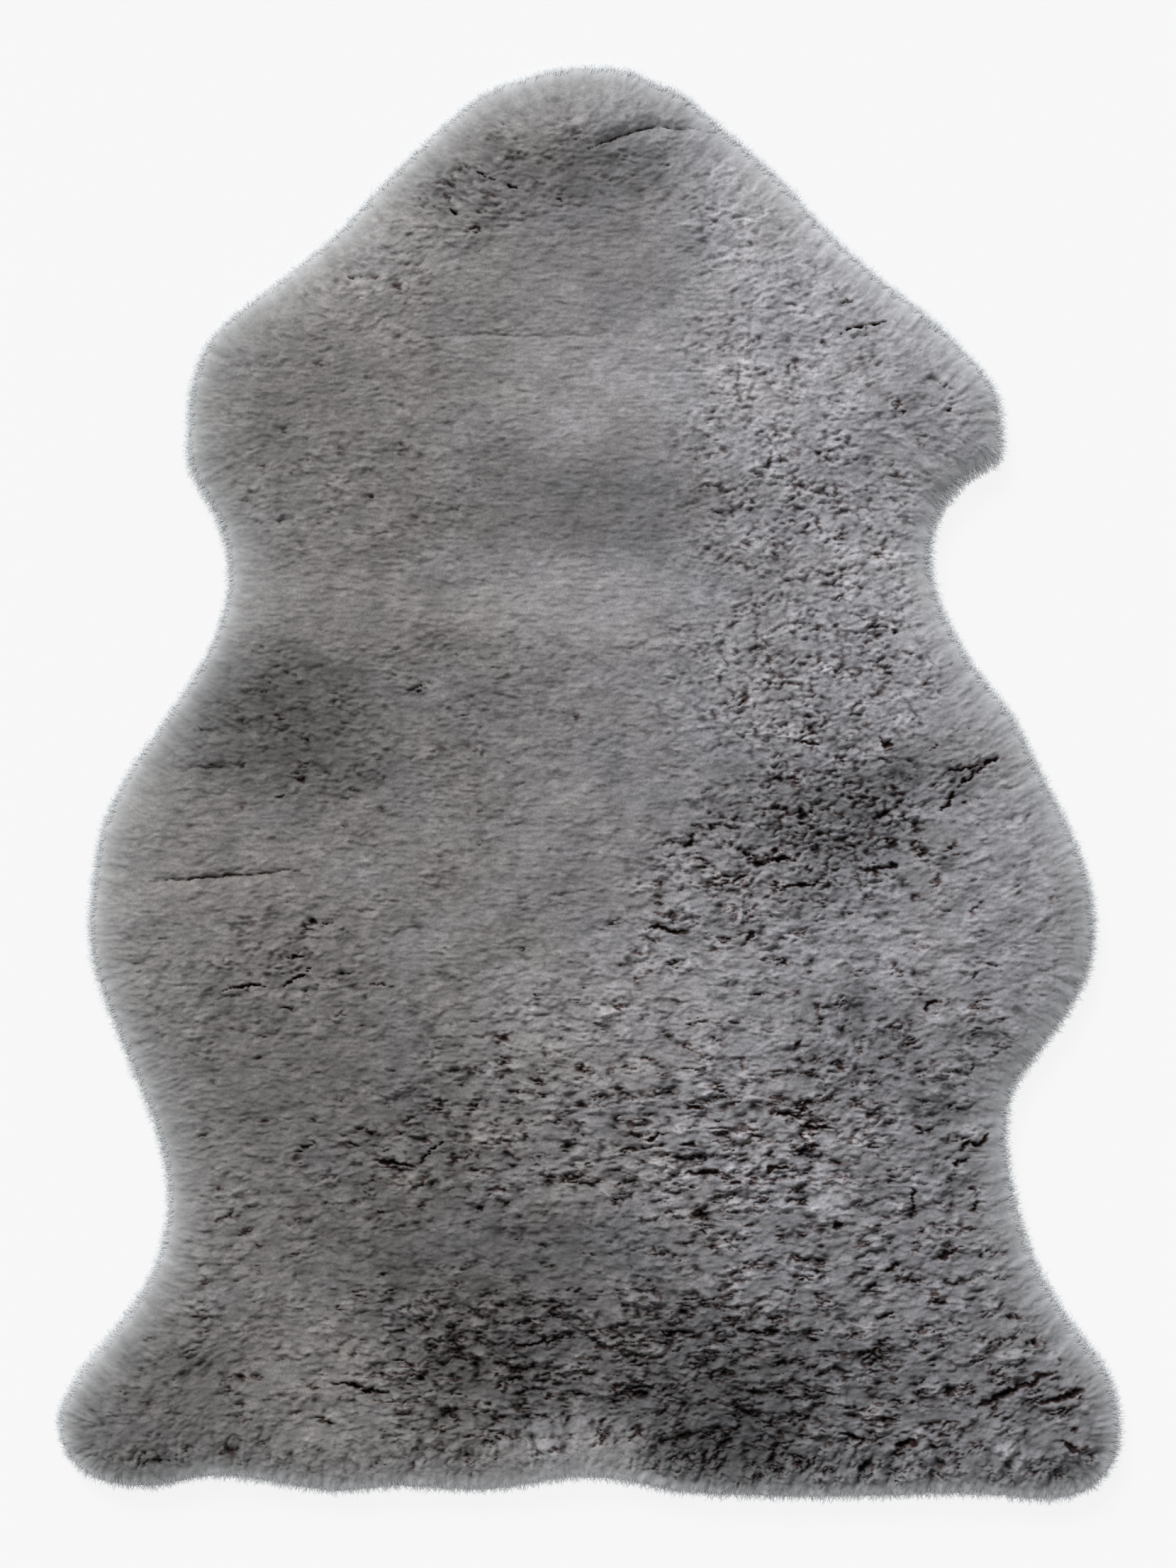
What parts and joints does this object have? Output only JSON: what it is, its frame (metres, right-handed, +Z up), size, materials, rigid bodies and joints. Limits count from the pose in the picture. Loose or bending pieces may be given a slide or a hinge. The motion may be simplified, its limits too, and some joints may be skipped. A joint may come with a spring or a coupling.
{
  "type": "sheepskin rug",
  "caption": "Whole sheepskin rug with short, dense grey wool, lying flat: narrow neck end, rounded shoulders and haunches, drawn-in waist and spread hind feet.",
  "frame": {"origin": "on the floor under the middle of the rug's bounding box", "axes": "+X towards the right-hand haunch seen from above, +Y along the skin towards the neck end, +Z up out of the wool"},
  "size_m": [0.7016, 0.9514, 0.0386],
  "materials": {
    "wool": "clipped wool pile, matt with a soft sheen, paler at the rim",
    "hide": "bare suede, matt"
  },
  "bodies": {
    "root": {"sheepskin": "wool"}
  },
  "joints": []
}
